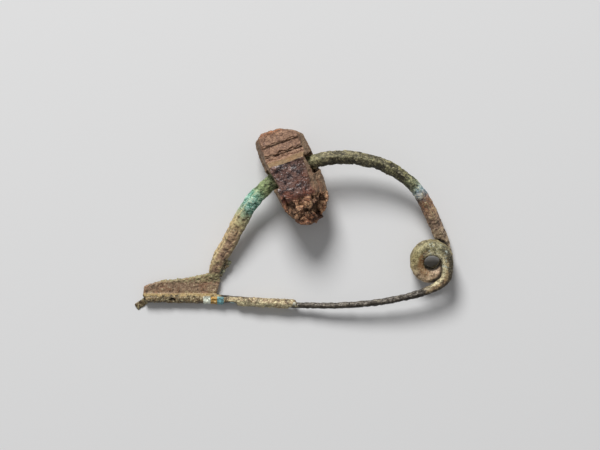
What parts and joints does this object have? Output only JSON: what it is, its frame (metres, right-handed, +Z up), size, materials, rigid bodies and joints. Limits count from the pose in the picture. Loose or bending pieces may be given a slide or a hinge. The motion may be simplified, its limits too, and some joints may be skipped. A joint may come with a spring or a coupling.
{
  "type": "fibula brooch",
  "caption": "Archaic bronze safety-pin brooch with an arched bow, a coiled spring, a long catch-plate and a faceted amber bead on the bow.",
  "frame": {"origin": "the surface the brooch lies on, at the middle of its footprint", "axes": "+X along the pin towards the spring, +Y from the pin towards the crown of the bow, +Z up, out of the side that is seen"},
  "size_m": [0.0794, 0.045, 0.0152],
  "materials": {
    "bronze": "corroded bronze with a brown and olive patina, green and pale blue specks",
    "amber": "weathered dark amber, crazed and glossy in front, crumbled at one end"
  },
  "bodies": {
    "root": {"bronze_fibula": "bronze", "amber_bead": "amber"}
  },
  "joints": []
}
